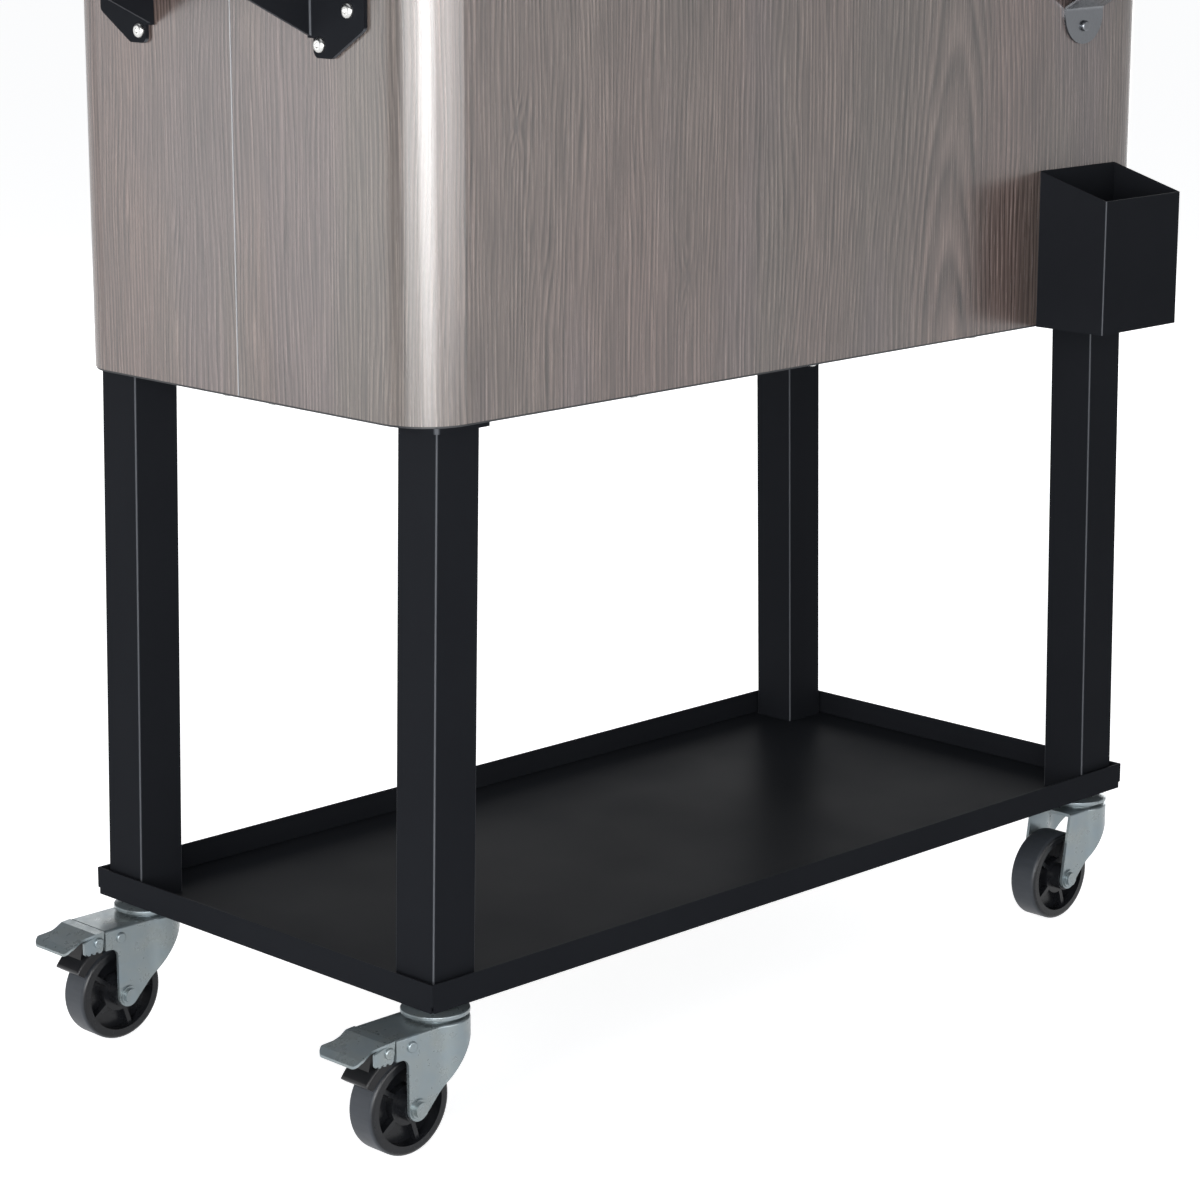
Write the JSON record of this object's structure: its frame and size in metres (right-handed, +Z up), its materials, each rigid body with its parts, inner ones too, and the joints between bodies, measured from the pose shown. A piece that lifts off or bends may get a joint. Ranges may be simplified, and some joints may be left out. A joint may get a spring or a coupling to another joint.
{
  "type": "patio cooler cart",
  "caption": "Insulated cooler cart with a wood-look wrap, hinged lids, end handles, a bottle opener and a cap catcher, on square legs with a lower shelf and braked swivel casters.",
  "frame": {"origin": "middle of the underside of the overall box, on the floor between the wheels", "axes": "+Z up, +X to the right seen from the front, -Y towards the front with the opener and the catcher"},
  "size_m": [0.957, 0.454, 0.952],
  "materials": {
    "wood_wrap": "satin wood-grain print",
    "black_powder_coat": "semi-gloss powder coat",
    "black_plastic": "moulded",
    "wheel_plastic": "satin moulded",
    "white_plastic": "smooth moulded",
    "foam": "foamed in place",
    "seal_rubber": "soft",
    "stainless": "brushed",
    "bright_fasteners": "bright",
    "zinc_plate": "blue zinc plate"
  },
  "bodies": {
    "cart": {"front_wrap_panel": "wood_wrap", "rear_wrap_panel": "wood_wrap", "base_panel": "black_powder_coat", "shelf_tray": "black_powder_coat", "cap_catcher": "black_powder_coat", "leg_front_left": "black_powder_coat", "leg_front_right": "black_powder_coat", "leg_rear_left": "black_powder_coat", "leg_rear_right": "black_powder_coat", "handle_bracket_left_front": "black_powder_coat", "handle_bracket_left_rear": "black_powder_coat", "handle_bracket_right_front": "black_powder_coat", "handle_bracket_right_rear": "black_powder_coat", "handle_bar_left": "black_powder_coat", "handle_bar_right": "black_powder_coat", "top_rim": "black_plastic", "centre_beam": "black_plastic", "drain_nut": "black_plastic", "inner_liner": "white_plastic", "drain_fitting": "white_plastic", "insulation_foam": "foam", "drain_seal": "seal_rubber", "bottle_opener": "stainless", "front_screws": "stainless", "hinge_pins": "stainless", "handle_bolts": "bright_fasteners", "leg_screws": "bright_fasteners", "base_screws": "bright_fasteners", "caster_stems": "zinc_plate", "caster_races": "zinc_plate", "swivel_bearings": "zinc_plate"},
    "left_lid": {"left_lid_skin": "black_powder_coat", "left_lid_panel": "white_plastic", "left_lid_foam": "foam", "left_lid_gasket": "seal_rubber", "left_lid_pull": "stainless", "left_lid_hinge_leaves": "stainless"},
    "right_lid": {"right_lid_skin": "black_powder_coat", "right_lid_panel": "white_plastic", "right_lid_foam": "foam", "right_lid_gasket": "seal_rubber", "right_lid_pull": "stainless", "right_lid_hinge_leaves": "stainless"},
    "fork_front_left": {"caster_fork_front_left": "zinc_plate", "caster_axle_front_left": "zinc_plate"},
    "wheel_front_left": {"caster_wheel_front_left": "wheel_plastic"},
    "fork_front_right": {"caster_fork_front_right": "zinc_plate", "caster_axle_front_right": "zinc_plate"},
    "wheel_front_right": {"caster_wheel_front_right": "wheel_plastic"},
    "fork_rear_left": {"caster_fork_rear_left": "zinc_plate", "caster_axle_rear_left": "zinc_plate"},
    "wheel_rear_left": {"caster_wheel_rear_left": "wheel_plastic"},
    "fork_rear_right": {"caster_fork_rear_right": "zinc_plate", "caster_axle_rear_right": "zinc_plate"},
    "wheel_rear_right": {"caster_wheel_rear_right": "wheel_plastic"},
    "pedal_front_left": {"brake_pedal_front_left": "zinc_plate", "brake_shoe_front_left": "black_plastic"},
    "pedal_rear_left": {"brake_pedal_rear_left": "zinc_plate", "brake_shoe_rear_left": "black_plastic"},
    "drain_cap": {"drain_cap": "black_plastic"}
  },
  "joints": [
    {"name": "left_lid_hinge", "type": "hinge", "parent": "cart", "child": "left_lid", "pos_m": [-0.026, 0.032, 0.934], "axis": [0, 1, 0], "range_deg": [0, 90]},
    {"name": "right_lid_hinge", "type": "hinge", "parent": "cart", "child": "right_lid", "pos_m": [0.026, 0.032, 0.934], "axis": [0, -1, 0], "range_deg": [0, 90]},
    {"name": "swivel_front_left", "type": "hinge", "parent": "cart", "child": "fork_front_left", "pos_m": [-0.37, -0.133, 0.09], "axis": [0, 0, 1], "continuous": true},
    {"name": "roll_front_left", "type": "hinge", "parent": "fork_front_left", "child": "wheel_front_left", "pos_m": [-0.4055, -0.133, 0.037], "axis": [0, 1, 0], "continuous": true},
    {"name": "brake_front_left", "type": "hinge", "parent": "fork_front_left", "child": "pedal_front_left", "pos_m": [-0.4115, -0.133, 0.0846], "axis": [0, -1, 0], "range_deg": [0, 6]},
    {"name": "swivel_front_right", "type": "hinge", "parent": "cart", "child": "fork_front_right", "pos_m": [0.37, -0.133, 0.09], "axis": [0, 0, 1], "continuous": true},
    {"name": "roll_front_right", "type": "hinge", "parent": "fork_front_right", "child": "wheel_front_right", "pos_m": [0.3345, -0.133, 0.037], "axis": [0, 1, 0], "continuous": true},
    {"name": "swivel_rear_left", "type": "hinge", "parent": "cart", "child": "fork_rear_left", "pos_m": [-0.37, 0.197, 0.09], "axis": [0, 0, 1], "continuous": true},
    {"name": "roll_rear_left", "type": "hinge", "parent": "fork_rear_left", "child": "wheel_rear_left", "pos_m": [-0.4055, 0.197, 0.037], "axis": [0, 1, 0], "continuous": true},
    {"name": "brake_rear_left", "type": "hinge", "parent": "fork_rear_left", "child": "pedal_rear_left", "pos_m": [-0.4115, 0.197, 0.0846], "axis": [0, -1, 0], "range_deg": [0, 6]},
    {"name": "swivel_rear_right", "type": "hinge", "parent": "cart", "child": "fork_rear_right", "pos_m": [0.37, 0.197, 0.09], "axis": [0, 0, 1], "continuous": true},
    {"name": "roll_rear_right", "type": "hinge", "parent": "fork_rear_right", "child": "wheel_rear_right", "pos_m": [0.3345, 0.197, 0.037], "axis": [0, 1, 0], "continuous": true},
    {"name": "drain_cap_pull", "type": "slide", "parent": "cart", "child": "drain_cap", "axis": [0, 0, -1], "range_m": [0, 0.03]}
  ]
}
